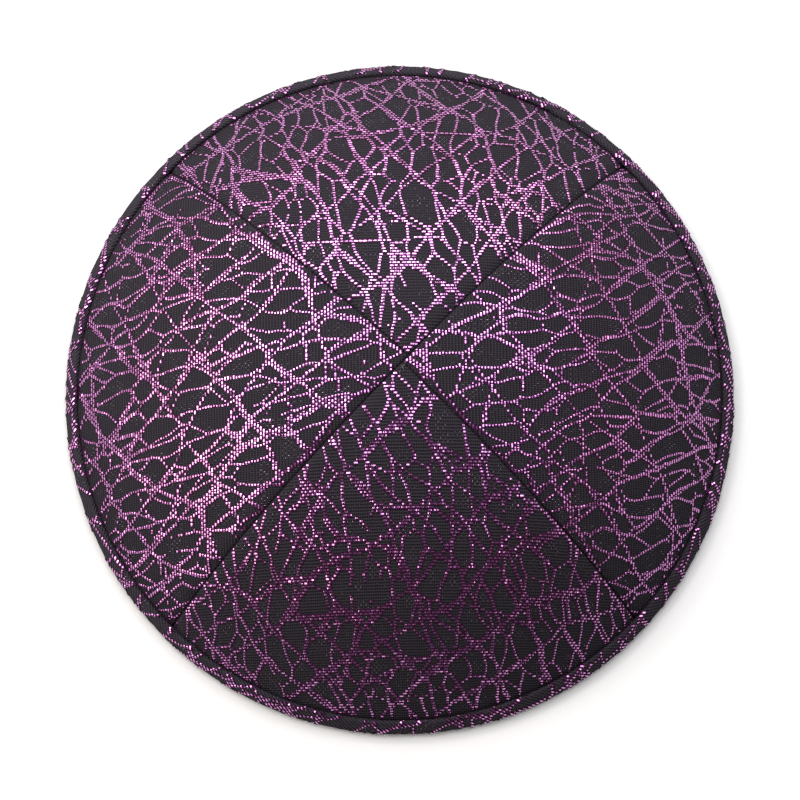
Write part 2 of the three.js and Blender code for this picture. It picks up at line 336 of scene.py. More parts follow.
class Crown:
    """The sewn crown and the wall inside the binding."""

    def __init__(self, cap):
        self.sizes = sizes = cap.crown
        self.binding = binding = cap.binding
        self.slope = sizes.rim_slope
        self.outer = binding.fit + binding.cloth
        self.inner = -sizes.cloth - binding.fit - binding.cloth
        self.panel_end = binding.height - binding.cloth - binding.fit
        corner = min((self.outer - self.inner) / 2, binding.fold_radius)
        lowest = self.section(binding.height - corner, self.inner + corner)[1]
        reach = self.section(binding.height - corner, self.outer - corner)[0] + corner
        self.corner = corner
        self.binding_top = math.sqrt(corner ** 2 - (binding.rest_width / 2) ** 2) - lowest
        self.half = np.array([sizes.rim_width / 2 - reach, sizes.rim_length / 2 - reach])
        self.rise = sizes.height - self.binding_top
        self.top = np.array([sizes.top_right, sizes.top_back])
        self.radius = self.half.mean() / math.sin(self.slope)
        self.seams = [sizes.back_right, sizes.back_left, sizes.front_left, sizes.front_right]

    def section(self, down, out):
        """Horizontal and vertical distance from a rim station, from distances down the wall and out of it."""
        return (down * math.cos(self.slope) + out * math.sin(self.slope),
                -down * math.sin(self.slope) + out * math.cos(self.slope))

    def station(self, turn):
        """Points of the binding's upper ellipse and their outward directions."""
        along = np.stack([np.cos(turn), np.sin(turn)], -1)
        return along * self.half, unit(along / self.half)

    def at_station(self, turn, down, out):
        """Points at distances down the straight wall and out of it, round the rim."""
        point, outward = self.station(turn)
        sideways, up = self.section(down, out)
        flat = point + outward * np.asarray(sideways)[..., None]
        return np.concatenate([flat, np.broadcast_to(
            np.maximum(self.binding_top + up, 0), flat.shape[:-1])[..., None]], -1)

    def contour(self, x, y):
        """Share of the rim's ellipse whose contour runs through a point of the plan."""
        from_top = np.stack([x - self.top[0], y - self.top[1]], -1)
        lean = self.top / self.half
        a = (lean ** 2).sum() - 1
        b = 2 * (from_top / self.half * lean).sum(-1)
        c = ((from_top / self.half) ** 2).sum(-1)
        return (-b - np.sqrt(b * b - 4 * a * c)) / (2 * a)

    def panel_middle(self, turn):
        """0 on the seams and 1 in the middle of a panel."""
        turned = (turn - self.seams[0]) % TURN
        ends = [seam - self.seams[0] for seam in self.seams] + [TURN]
        middle = np.zeros(np.shape(turn))
        for begin, end in zip(ends, ends[1:]):
            inside = (turned >= begin) & (turned <= end)
            middle = np.where(inside, np.sin(math.pi * (turned - begin) / (end - begin)), middle)
        return middle

    def height(self, x, y):
        part = self.contour(x, y)
        turn = np.arctan2((y - self.top[1] * (1 - part)) / self.half[1],
                          (x - self.top[0] * (1 - part)) / self.half[0])
        lowered = part * (1 + self.sizes.flatness * (1 - part) * self.panel_middle(turn))
        cosine = np.sqrt(1 - np.minimum(lowered * math.sin(self.slope), 1) ** 2)
        rim = math.cos(self.slope)
        return self.binding_top + self.rise * (cosine - rim) / (1 - rim)

    def normal(self, x, y, step=0.05 * MM):
        across = (self.height(x + step, y) - self.height(x - step, y)) / (2 * step)
        along = (self.height(x, y + step) - self.height(x, y - step)) / (2 * step)
        return unit(np.stack([-across, -along, np.ones(np.shape(across))], -1))

    def to_rim(self, x, y):
        """Distance over the cloth to the binding."""
        part = np.clip(self.contour(x, y) * math.sin(self.slope), 0, 1)
        return (self.slope - np.arcsin(part)) * self.radius


# Each panel's two seams, counter-clockwise, and the side of the top on which its tip lies
GORES = {
    "panel_back": {"seams": (0, 1), "side": 1},
    "panel_left": {"seams": (1, 2), "side": 1},
    "panel_front": {"seams": (2, 3), "side": -1},
    "panel_right": {"seams": (3, 0), "side": -1},
}


# Reach of the tables of the grain: down from the top, and to each side of a panel's middle
GRAIN_DOWN = (-4 * MM, 88 * MM)
GRAIN_SIDE = 66 * MM

# Lie of the sewn cloth. The pull of the stitching is a share of its depth at the top and whole further out.
PULL_AT_TOP = {"share": 0.3, "from": 1 * MM, "whole": 14 * MM}
DITCH_REACH = 0.5 * MM
# Gathers beside the seams and above the binding: their strength and how it varies, how their spacing wanders,
# and how far from the stitching they are deepest and reach. Those above the binding are shallower and longer.
SEAM_GATHERS = {"strength": 0.55, "vary": 0.75, "vary_over": 7 * MM, "wander": 0.8, "wander_over": 9 * MM,
                "deepest": 1.1 * MM, "reach": 1.0 * MM}
RIM_GATHERS = {"depth": 0.8, "stretch": 1.15, "wander_over": 9 * MM, "deepest": 1.2 * MM, "reach": 1.3 * MM}
# The slow rise and fall is made of two sizes and dies away beside the stitching
SLOW = [{"share": 0.7, "over": 19 * MM}, {"share": 0.3, "over": 8 * MM}]
CALM_REACH = 5 * MM


def cross(a, b):
    return a[..., 0] * b[..., 1] - a[..., 1] * b[..., 0]


class Gore:
    """One panel of the crown."""

    def __init__(self, crown, name, number):
        self.crown = crown
        self.number = number
        first, second = GORES[name]["seams"]
        self.begin = crown.seams[first]
        self.end = self.begin + (crown.seams[second] - self.begin) % TURN
        rim = crown.station(np.array(crown.seams))[0]
        long_seam = rim[0] - rim[2]
        long_seam /= np.linalg.norm(long_seam)
        corner = crown.top + long_seam * GORES[name]["side"] * crown.sizes.stagger / 2
        edges = [rim[index] - corner for index in (first, second)]
        edges = [edge / np.linalg.norm(edge) for edge in edges]
        half_angle = math.atan2(cross(edges[0], edges[1]), edges[0] @ edges[1]) / 2
        inwards = (edges[0] + edges[1]) / np.linalg.norm(edges[0] + edges[1])
        trim = crown.sizes.gap / 2 / crown.half.mean()
        self.tip = corner + inwards * crown.sizes.gap / 2 / math.sin(half_angle)
        self.begin, self.end = self.begin + trim, self.end - trim
        ends = crown.station(np.array([self.begin, self.end]))[0] - self.tip
        self.edges = unit(ends)
        middle = (self.begin + self.end) / 2
        self.down = np.array([math.cos(middle), math.sin(middle)])
        self.side = np.array([-math.sin(middle), math.cos(middle)])
        self.lay_grain()

    def lay_grain(self, step=0.5 * MM):
        """Tables of the distance over the cloth down from the top and sideways from the middle."""
        self.a = np.arange(*GRAIN_DOWN, step)
        self.b = np.arange(-GRAIN_SIDE, GRAIN_SIDE + step / 2, step)
        a, b = np.meshgrid(self.a, self.b, indexing="ij")
        z = self.crown.height(*self.plan(a, b))
        self.grain_v = np.pad(np.cumsum(np.hypot(step, np.diff(z, axis=0)), axis=0), ((1, 0), (0, 0)))
        self.grain_v -= self.grain_v[np.argmin(abs(self.a))]
        self.grain_u = np.pad(np.cumsum(np.hypot(step, np.diff(z, axis=1)), axis=1), ((0, 0), (1, 0)))
        self.grain_u -= self.grain_u[:, [np.argmin(abs(self.b))]]

    def plan(self, a, b):
        """Plan of points that lie a down from the top and b to the side of the middle."""
        return (self.crown.top[0] + a * self.down[0] + b * self.side[0],
                self.crown.top[1] + a * self.down[1] + b * self.side[1])

    def grain(self, x, y):
        """Place of points on the cloth's grain, from the tables."""
        from_top = np.stack([x, y], -1) - self.crown.top
        a = (from_top @ self.down - self.a[0]) / (self.a[1] - self.a[0])
        b = (from_top @ self.side - self.b[0]) / (self.b[1] - self.b[0])
        i = np.clip(a.astype(int), 0, len(self.a) - 2)
        j = np.clip(b.astype(int), 0, len(self.b) - 2)
        a, b = a - i, b - j
        return tuple(
            (table[i, j] * (1 - a) + table[i + 1, j] * a) * (1 - b)
            + (table[i, j + 1] * (1 - a) + table[i + 1, j + 1] * a) * b
            for table in (self.grain_u, self.grain_v)
        )

    def from_seams(self, x, y):
        """Distance to the nearer of the panel's two edges, below zero outside, and along that edge."""
        point = np.stack([x, y], -1) - self.tip
        first, second = cross(self.edges[0], point), cross(point, self.edges[1])
        nearer = first < second
        return np.minimum(first, second), np.where(nearer, point @ self.edges[0], point @ self.edges[1])

    def relief(self, x, y):
        """How far the cloth is drawn in at each point of the plan."""
        sizes = self.crown.sizes
        away, along = self.from_seams(x, y)
        away = np.maximum(away, 0)
        to_rim = np.maximum(self.crown.to_rim(x, y), 0)
        from_top = np.hypot(x - self.crown.top[0], y - self.crown.top[1])
        at_top, seam, rim = PULL_AT_TOP, SEAM_GATHERS, RIM_GATHERS
        whole = smoothstep(at_top["from"], at_top["whole"], from_top)
        fade = whole * (1 - at_top["share"]) + at_top["share"]
        drawn = sizes.pull * fade * bell(away, sizes.pull_reach)
        inside = np.clip(sizes.edge_roll - away, 0, sizes.edge_roll)
        drawn = drawn + sizes.edge_roll - np.sqrt(np.maximum(sizes.edge_roll ** 2 - inside ** 2, 0))
        drawn = drawn + sizes.ditch * bell(to_rim, DITCH_REACH)
        seed = 40 + 5 * self.number
        strength = seam["strength"] + seam["vary"] * noise(along, away * 0 + 1, seam["vary_over"], seed)
        phase = along / sizes.stitch + seam["wander"] * noise(along, away * 0, seam["wander_over"], seed + 1)
        beside = bell(away, seam["reach"], seam["deepest"])
        drawn = drawn + sizes.pucker * strength * np.sin(TURN * phase) * beside
        around = np.arctan2(y, x) * self.crown.half[0]
        phase = around / (sizes.stitch * rim["stretch"]) + noise(x, y, rim["wander_over"], seed + 2)
        beside = bell(to_rim, rim["reach"], rim["deepest"])
        drawn = drawn + rim["depth"] * sizes.pucker * strength * np.sin(TURN * phase) * beside
        calm = (1 - bell(away, CALM_REACH)) * (1 - bell(to_rim, CALM_REACH))
        slow = sum(part["share"] * noise(x, y, part["over"], seed + 3 + k) for k, part in enumerate(SLOW))
        return drawn + sizes.unevenness * calm * slow

    def surface(self, x, y):
        """Points of the cloth's face over a plan."""
        place = np.stack([x, y, self.crown.height(x, y)], -1)
        return place - self.crown.normal(x, y) * self.relief(x, y)[..., None]

    def facing(self, x, y, step=0.12 * MM):
        """Direction in which the cloth faces, with its puckers."""
        across = self.surface(x + step, y) - self.surface(x - step, y)
        along = self.surface(x, y + step) - self.surface(x, y - step)
        return unit(np.cross(across, along))


# Rows of the panels' and the binding's meshes: distances in millimetres
MARGIN = np.array([0, 0.05, 0.11, 0.19, 0.3, 0.43, 0.6, 0.9, 1.3, 1.8, 2.4, 3.2, 4.2]) * MM
TIP_ROWS = np.array([0.04, 0.12, 0.25, 0.42, 0.65, 0.95, 1.35, 1.85, 2.45]) * MM
HIDDEN_ROWS = np.array([0.5, 1.2, 2.4]) * MM
ROW_STEP = 0.85 * MM
COLUMN_STEP = 1.4 * MM
# The reverse follows this share of the pull, and its edge is rounded with this radius
REVERSE_PULL = 0.5
REVERSE_ROLL = 0.3 * MM
# Metal thread keeps this far off the seams and the binding
SEAM_CLEARANCE = 0.34 * MM
RIM_CLEARANCE = 0.3 * MM


def column_shares(width, evenly):
    """Where a row's columns stand: close together beside the seams and evenly between."""
    near = MARGIN[None] / np.maximum(width, MARGIN[-1] / 0.32)[:, None]
    last = near[:, -1:]
    even = last + (1 - 2 * last) * np.arange(1, evenly)[None] / evenly
    return np.concatenate([near, even, 1 - near[:, ::-1]], 1)


def panel_points(gore):
    """Face and reverse of one panel's cloth as grids of points, with their place on the grain."""
    crown, sizes = gore.crown, gore.crown.sizes
    full = crown.slope * crown.radius
    down = np.concatenate([TIP_ROWS, np.linspace(TIP_ROWS[-1], full, round(full / ROW_STEP))[1:]])
    extra = full - np.array([0.25, 0.5]) * MM
    down = np.unique(np.concatenate([down, extra]))
    reach = np.sin(down / crown.radius) / math.sin(crown.slope)
    spread = (gore.end - gore.begin) * crown.half.mean()
    shares = column_shares(reach * spread, round(spread / COLUMN_STEP))
    rim = crown.station(gore.begin + (gore.end - gore.begin) * shares)[0]
    plan = gore.tip + (rim - gore.tip) * reach[:, None, None]
    x, y = plan[..., 0], plan[..., 1]
    face = gore.surface(x, y)
    away = np.maximum(gore.from_seams(x, y)[0], 0)
    bare = np.stack([x, y, crown.height(x, y)], -1)
    edge = np.clip(REVERSE_ROLL - away, 0, REVERSE_ROLL)
    curl = REVERSE_ROLL - np.sqrt(np.maximum(REVERSE_ROLL ** 2 - edge ** 2, 0))
    depth = sizes.cloth + REVERSE_PULL * sizes.pull * bell(away, sizes.pull_reach) - curl
    reverse = bare - crown.normal(x, y) * depth[..., None]
    u, v = gore.grain(x, y)
    turn = gore.begin + (gore.end - gore.begin) * shares[-1]
    drawn = gore.relief(x[-1], y[-1])
    for below in [*HIDDEN_ROWS, crown.panel_end]:
        face = np.concatenate([face, crown.at_station(turn, below, -drawn)[None]])
        reverse = np.concatenate([reverse, crown.at_station(turn, below, -depth[-1])[None]])
        u, v = np.concatenate([u, u[-1:]]), np.concatenate([v, v[-1:] + below])
    return face, reverse, u, v


def grid_faces(numbers):
    """Quads between the rows of a grid of vertex numbers."""
    corners = [numbers[:-1, :-1], numbers[1:, :-1], numbers[1:, 1:], numbers[:-1, 1:]]
    return np.stack(corners, -1).reshape(-1, 4)


def mesh_object(name, points, faces, grain=None, kinds=None, materials=()):
    """A smooth mesh whose faces point out, with the grain of its cloth as its UV map."""
    mesh = bpy.data.meshes.new(name)
    a, b, c = (points[faces[:, k]] for k in (0, 1, 2))
    d = points[faces[:, -1]]
    volume = (np.cross(a, b) * c).sum() + (np.cross(a, c) * d).sum()
    if volume < 0:
        faces = faces[:, ::-1]
    mesh.from_pydata(points.tolist(), [], faces.tolist())
    for material in materials:
        mesh.materials.append(material)
    if kinds is not None:
        mesh.polygons.foreach_set("material_index", kinds.astype(np.int32))
    if grain is not None:
        layer = mesh.uv_layers.new(name="Grain")
        layer.uv.foreach_set("vector", (grain[faces.reshape(-1)] / MM).astype(np.float32).reshape(-1))
    mesh.polygons.foreach_set("use_smooth", np.ones(len(faces), bool))
    mesh.update()
    made = bpy.data.objects.new(name, mesh)
    bpy.context.scene.collection.objects.link(made)
    return made


def panel_object(name, gore, materials):
    """The dressed panel: its face, its reverse and the walls between them."""
    face, reverse, u, v = panel_points(gore)
    rows, columns = u.shape
    numbers = np.arange(rows * columns).reshape(rows, columns)
    under = numbers + rows * columns
    outer, inner = grid_faces(numbers), grid_faces(under)[:, ::-1]
    walls = [
        np.stack([numbers[0, 1:], under[0, 1:], under[0, :-1], numbers[0, :-1]], -1)[:, ::-1],
        np.stack([numbers[-1, 1:], under[-1, 1:], under[-1, :-1], numbers[-1, :-1]], -1),
        np.stack([numbers[1:, 0], numbers[:-1, 0], under[:-1, 0], under[1:, 0]], -1)[:, ::-1],
        np.stack([numbers[1:, -1], numbers[:-1, -1], under[:-1, -1], under[1:, -1]], -1),
    ]
    faces = np.concatenate([outer, inner, *walls])
    kinds = np.zeros(len(faces), int)
    kinds[len(outer):len(outer) + len(inner)] = 1
    points = np.concatenate([face.reshape(-1, 3), reverse.reshape(-1, 3)])
    grain = np.stack([u.reshape(-1), v.reshape(-1)], -1)
    return mesh_object(name, points, faces, np.concatenate([grain, grain]), kinds, materials)


def panel_dashes(gore, weave, step=0.12 * MM):
    """Middles, directions, facings and lengths of a panel's dashes of metal thread."""
    full = gore.crown.slope * gore.crown.radius
    rows = np.arange(0, full * 1.02, weave.rib) + weave.rib / 2
    downs = np.stack([np.interp(rows, gore.grain_v[:, k], gore.a) for k in range(len(gore.b))], 1)
    u = np.arange(-gore.b[-1] * 1.12, gore.b[-1] * 1.12, step)
    a, b = [], []
    for down in downs:
        x, y = gore.plan(down, gore.b)
        z = gore.crown.height(x, y)
        run = running(np.sqrt(np.diff(gore.b) ** 2 + np.diff(down) ** 2 + np.diff(z) ** 2))
        run -= np.interp(0, gore.b, run)
        b.append(np.interp(u, run, gore.b))
        a.append(np.interp(b[-1], gore.b, down))
    a, b = np.array(a), np.array(b)
    x, y = gore.plan(a, b)
    inside = (gore.from_seams(x, y)[0] > SEAM_CLEARANCE) & (gore.crown.to_rim(x, y) > RIM_CLEARANCE)
    inside &= gore.crown.contour(x, y) < 1
    on = np.zeros(a.shape, bool)
    across, along = np.broadcast_arrays(u[None], rows[:, None])
    on[inside] = web(across[inside], along[inside], weave, weave.seed + gore.number)
    found = []
    for row in range(len(rows)):
        for middle, long in dashes(on[row], row, u[0], step, weave):
            ends = [np.interp(middle + side * long / 2, u, part[row]) for side in (-1, 1) for part in (a, b)]
            found.append([*ends, long])
    found = np.array(found)
    starts, stops = (gore.surface(*gore.plan(found[:, k], found[:, k + 1])) for k in (0, 2))
    middle = gore.plan((found[:, 0] + found[:, 2]) / 2, (found[:, 1] + found[:, 3]) / 2)
    return gore.surface(*middle), stops - starts, gore.facing(*middle), found[:, 4]


# The folded binding

# Gathers of the strip: their strength and how it varies, how far apart they are around the rim and down the
# strip, how their spacing wanders, and how far below the upper edge they are whole
FOLD_GATHERS = {"strength": 0.55, "vary": 0.6, "vary_over": 9 * MM, "around": 3.3 * MM, "down": 5.2 * MM,
                "wander": 0.9, "wander_over": 11 * MM, "whole": 1.2 * MM}
FOLD_LUMPS = {"height": 0.05 * MM, "over": 3.1 * MM}
# Each stitch presses the upper edge in, over this share of its length and this far down
STITCH_DENT = {"depth": 0.09 * MM, "share": 0.2, "down": 0.9 * MM}
# Overlap of the strip's ends: the slant of its edge, half the width of the step there, where it starts to die
# away and has gone, and how far it stands above the rest
LAP = {"slant": 0.9, "step": 0.15 * MM, "from": 5 * MM, "gone": 11 * MM, "lift": 0.45 * MM}
WOBBLE_OVER = 12 * MM
BINDING_STATIONS = 780
# The web and the draws of the binding's threads start from this number, past those of the panels
BINDING_SEED = 9
# The lines of the web are this much wider to each side on the binding
BINDING_WIDEN = 0.06 * MM
# Metal thread starts below the upper edge, ends beyond the fold and stays this high above the floor
THREAD_START = 0.35 * MM
THREAD_PAST_FOLD = 1.9 * MM
THREAD_LOWEST = 0.9 * MM


def rounded(corners, longest):
    """A closed outline with each corner (down, out, radius) rounded, and its straight runs divided."""
    points = np.array([corner[:2] for corner in corners])
    outline = []
    for k, (_, _, radius) in enumerate(corners):
        before, here, after = points[k - 1], points[k], points[(k + 1) % len(corners)]
        back, ahead = before - here, after - here
        back, ahead = back / np.linalg.norm(back), ahead / np.linalg.norm(ahead)
        half = math.acos(np.clip(back @ ahead, -1, 1)) / 2
        cut = radius / math.tan(half)
        centre = here + (back + ahead) / np.linalg.norm(back + ahead) * radius / math.sin(half)
        start, stop = here + back * cut - centre, here + ahead * cut - centre
        sweep = math.pi - 2 * half
        steps = max(2, round(sweep * radius / longest * 1.6))
        for i in range(steps + 1):
            part = i / steps
            outline.append(centre + (start * math.sin((1 - part) * sweep) + stop * math.sin(part * sweep))
                           / math.sin(sweep))
    divided = []
    for here, after in zip(outline, outline[1:] + outline[:1]):
        steps = max(1, math.ceil(np.linalg.norm(after - here) / longest))
        divided += [here + (after - here) * i / steps for i in range(steps)]
    return np.array(divided)


class Fold:
    """The folded binding: its outline and how it is puckered round the rim."""

    def __init__(self, crown):
        self.crown = crown
        binding, sizes = crown.binding, crown.sizes
        inner_top = binding.height - binding.inner_leg
        inner_wall = -sizes.cloth - 0.06 * MM
        touch = -sizes.ditch * 0.6
        self.outline = rounded([
            (0.16 * MM, touch, 0.12 * MM),
            (0.0, crown.outer, binding.lip_radius),
            (binding.height, crown.outer, crown.corner),
            (binding.height, crown.inner, crown.corner),
            (inner_top, crown.inner, 0.5 * MM),
            (inner_top, inner_wall, 0.25 * MM),
            (crown.panel_end + 0.05 * MM, inner_wall, 0.1 * MM),
            (crown.panel_end + 0.05 * MM, touch, 0.1 * MM),
        ], 0.45 * MM)
        self.closed = np.concatenate([self.outline, self.outline[:1]])
        self.turns = np.linspace(0, TURN, 1441)
        place = crown.station(self.turns)[0]
        self.run, self.around = (
            running(np.linalg.norm(np.diff(line, axis=0), axis=1)) for line in (self.closed, place))

    def skin(self, around, run):
        """Points of the binding at a distance round the rim and a distance over its outline."""
        crown, binding = self.crown, self.crown.binding
        around = around % self.around[-1]
        turn = np.interp(around, self.around, self.turns)
        run = run % self.run[-1]
        down, out = (np.interp(run, self.run, self.closed[:, k]) for k in (0, 1))
        span = self.run[-1]
        step = 0.05 * MM
        ahead, behind = ((run + side * step) % span for side in (1, -1))
        tangent = [
            np.interp(ahead, self.run, self.closed[:, k]) - np.interp(behind, self.run, self.closed[:, k])
            for k in (0, 1)
        ]
        size = np.maximum(np.hypot(*tangent), 1e-9)
        away_down, away_out = -tangent[1] / size, tangent[0] / size
        loop = self.around[-1]
        ring = (np.cos(TURN * around / loop) * loop / TURN, np.sin(TURN * around / loop) * loop / TURN)
        outside = smoothstep(-0.1 * MM, 0.6 * MM, out)
        swell = binding.bulge * np.sin(math.pi * np.clip(down / binding.height, 0, 1)) * outside
        form = FOLD_GATHERS
        strength = form["strength"] + form["vary"] * noise(ring[0], ring[1], form["vary_over"], 71)
        phase = around / form["around"] - down / form["down"]
        phase = phase + form["wander"] * noise(ring[0], ring[1], form["wander_over"], 72)
        whole = smoothstep(0, form["whole"], down)
        swell = swell + binding.pucker * strength * np.sin(TURN * phase) * outside * whole
        lumps = noise(ring[0] + down, ring[1] - down, FOLD_LUMPS["over"], 73)
        swell = swell + FOLD_LUMPS["height"] * lumps * outside
        stitch = around / crown.sizes.stitch % 1 - 0.5
        dent = STITCH_DENT["depth"] * bell(stitch, STITCH_DENT["share"]) * bell(down, STITCH_DENT["down"])
        swell = swell - dent * outside
        join = np.interp(binding.join, self.turns, self.around)
        past = (around - join + loop / 2) % loop - loop / 2 + LAP["slant"] * down
        lap = smoothstep(-LAP["step"], LAP["step"], past) * (1 - smoothstep(LAP["from"], LAP["gone"], past))
        swell = swell + binding.join_step * lap * outside
        shift = binding.wobble * noise(ring[0], ring[1], WOBBLE_OVER, 74) - LAP["lift"] * lap
        down = down + shift * (1 - np.clip(down / binding.height, 0, 1)) * outside
        return crown.at_station(turn, down + away_down * swell, out + away_out * swell)

    def grain(self, around, run):
        """The strip is cut on the bias, so its grain runs at 45 degrees to the rim."""
        return (around + run) / math.sqrt(2), (around - run) / math.sqrt(2)


def binding_object(name, fold, stations, materials):
    """The dressed binding: its outline, laid round the rim at so many stations and closed into a ring."""
    count = len(fold.outline)
    around = np.arange(stations + 1) / stations * fold.around[-1]
    grid_around, grid_run = np.meshgrid(around[:-1], fold.run[:-1], indexing="ij")
    points = fold.skin(grid_around, grid_run).reshape(-1, 3)
    numbers = np.arange(stations * count).reshape(stations, count)
    numbers = np.concatenate([numbers, numbers[:1]])
    numbers = np.concatenate([numbers, numbers[:, :1]], 1)
    faces = grid_faces(numbers)
    made = mesh_object(name, points, faces, None, None, materials)
    whole_around, whole_run = np.meshgrid(around, fold.run, indexing="ij")
    corners = np.arange(whole_around.size).reshape(whole_around.shape)
    grain = np.stack(fold.grain(whole_around.reshape(-1), whole_run.reshape(-1)), -1) / MM
    layer = made.data.uv_layers.new(name="Grain")
    wide = grid_faces(corners)
    flipped = made.data.polygons[0].vertices[0] != faces[0, 0]
    order = wide[:, ::-1] if flipped else wide
    layer.uv.foreach_set("vector", grain[order.reshape(-1)].astype(np.float32).reshape(-1))
    return made


def binding_dashes(fold, weave, step=0.12 * MM):
    """Middles, directions, facings and lengths of the binding's dashes, in rows on the bias."""
    start, stop = THREAD_START, fold.crown.binding.height + THREAD_PAST_FOLD
    root = math.sqrt(2)
    spacing = weave.rib * root
    rows = np.arange(int(fold.around[-1] / spacing)) * spacing
    along = np.arange(start, stop, step / root)
    around = rows[:, None] + along[None]
    run = np.broadcast_to(along[None], around.shape)
    u, v = fold.grain(around, run)
    on = web(u, v, weave, weave.seed + BINDING_SEED, BINDING_WIDEN)
    found = []
    for row in range(len(rows)):
        for middle, long in dashes(on[row], row, 0.0, step, weave):
            at = start + middle / root
            if start < at < stop:
                found.append([rows[row] + at, at, long])
    found = np.array(found)
    half = found[:, 2] / 2 / root
    middle = fold.skin(found[:, 0], found[:, 1])
    first, last = (fold.skin(found[:, 0] + side * half, found[:, 1] + side * half) for side in (-1, 1))
    nudge = 0.1 * MM
    sideways = fold.skin(found[:, 0] + nudge, found[:, 1]) - fold.skin(found[:, 0] - nudge, found[:, 1])
    downwards = fold.skin(found[:, 0], found[:, 1] + nudge) - fold.skin(found[:, 0], found[:, 1] - nudge)
    facing = np.cross(sideways, downwards)
    outward = middle * np.array([1, 1, 0]) + np.array([0, 0, 0.02])
    facing *= np.sign((facing * outward).sum(1))[:, None]
    above = middle[:, 2] > THREAD_LOWEST
    return middle[above], (last - first)[above], facing[above], found[above, 2]


# Nodes


class Value:
    """A number in a node tree; sums and products of such numbers add the Math nodes that make them."""

    def __init__(self, nodes, socket):
        self.nodes, self.socket = nodes, socket

    def math(self, operation, *others):
        return self.nodes.value("ShaderNodeMath", dict(enumerate([self, *others])), operation=operation)

    def __add__(self, other):
        return self.math("ADD", other)

    def __sub__(self, other):
        return self.math("SUBTRACT", other)

    def __mul__(self, other):
        return self.math("MULTIPLY", other)

    def __truediv__(self, other):
        return self.math("DIVIDE", other)

    def __pow__(self, other):
        return self.math("POWER", other)

    def __rsub__(self, other):
        return self.nodes.value("ShaderNodeMath", {0: other, 1: self}, operation="SUBTRACT")

    __radd__ = __add__
    __rmul__ = __mul__

    def wave(self):
        """A cosine wave from 0 to 1 that has its crest at each whole number."""
        return (self * TURN).math("COSINE") * 0.5 + 0.5

    def between(self, low, high):
        """0 below low and 1 above high, with a smooth step between them."""
        return self.nodes.value(
            "ShaderNodeMapRange", {"Value": self, "From Min": low, "From Max": high},
            interpolation_type="SMOOTHSTEP",
        )


class Nodes:
    """Adds nodes to a tree."""

    def __init__(self, tree):
        self.tree = tree

    def add(self, kind, inputs=None, **settings):
        node = self.tree.nodes.new(kind)
        for name, value in settings.items():
            setattr(node, name, value)
        for name, value in (inputs or {}).items():
            self.feed(node.inputs[name], value)
        return node

    def feed(self, socket, value):
        if isinstance(value, Value):
            value = value.socket
        if isinstance(value, bpy.types.NodeSocket):
            self.tree.links.new(value, socket)
        else:
            socket.default_value = value

    def value(self, kind, inputs=None, output=0, **settings):
        return Value(self, self.add(kind, inputs, **settings).outputs[output])

    def mix(self, factor, first, second):
        """Colour between two colours."""
        node = self.add("ShaderNodeMix", data_type="RGBA")
        for socket, value in ((node.inputs[0], factor), (node.inputs[6], first), (node.inputs[7], second)):
            self.feed(socket, value)
        return node.outputs[2]

    def grain(self):
        """Place on the cloth's grain, in millimetres."""
        return self.add("ShaderNodeUVMap", uv_map="Grain").outputs[0]

    def first_two(self, vector):
        parts = self.add("ShaderNodeSeparateXYZ", {0: vector})
        return (Value(self, parts.outputs[k]) for k in (0, 1))

    def speckle(self, place, scale, detail=2.0):
        return self.value("ShaderNodeTexNoise", {"Vector": place, "Scale": scale, "Detail": detail})


def rgba(rgb):
    return (*rgb, 1.0)


def new_material(name):
    material = bpy.data.materials.new(name)
    material.use_nodes = True
    material.node_tree.nodes.clear()
    return material, Nodes(material.node_tree)


def finish_material(nodes, surface, **constants):
    """Sets what is the same all over on the shader's own sockets and ends the tree."""
    for name, value in constants.items():
        surface.inputs[name.replace("_", " ")].default_value = value
    nodes.add("ShaderNodeOutputMaterial", {"Surface": surface.outputs[0]})


# The binding is of the panels' cloth, made this much lighter so that it doesn't come out too dark: painted
# light, a more brightly lit copy of the panels' cloth
BINDING_PAINTED_LIGHT = 1.3
RIB_WANDER = 0.16
END_WANDER = 0.2
# Steepness of a rib's crest, and how much of it stays between the lengthwise ends; the crest sets both the
# painted shade of the weave's hollows and the roughness
CREST = {"power": 1.5, "kept": 0.45}
# Depth of the weave in the shader
CLOTH_BUMP = 0.25 * MM
CLOTH_ROUGHNESS = {"ground": 0.8, "crest": 0.12, "glint": 0.5}


